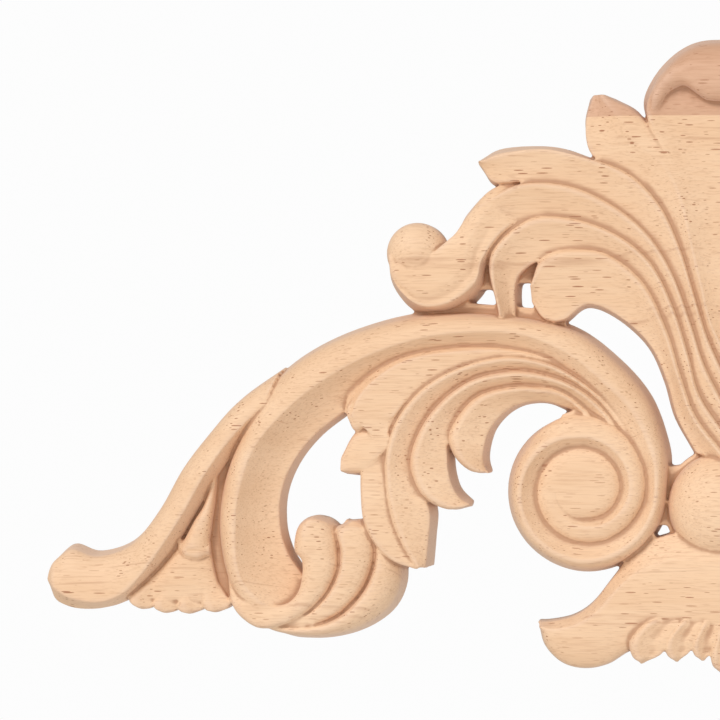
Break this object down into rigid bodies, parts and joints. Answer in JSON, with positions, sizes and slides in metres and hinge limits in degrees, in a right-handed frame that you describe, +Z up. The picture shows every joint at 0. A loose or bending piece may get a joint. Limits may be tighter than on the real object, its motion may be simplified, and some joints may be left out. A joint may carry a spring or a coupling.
{
  "type": "carved wood applique",
  "caption": "Pierced carved applique with a flat back: two scrolled acanthus arches, a fan of leaves under a curled head, a boss and a lower leaf spray",
  "frame": {"origin": "on the flat back, behind the centre of the boss", "axes": "+X along the span, to the viewer's right when the carved face is seen; +Y out of the flat back, into the surface that it is fixed to; +Z up, towards the curled head"},
  "size_m": [0.3376, 0.016, 0.1561],
  "materials": {
    "rubberwood": "sanded bare wood"
  },
  "bodies": {
    "root": {"applique": "rubberwood"}
  },
  "joints": []
}
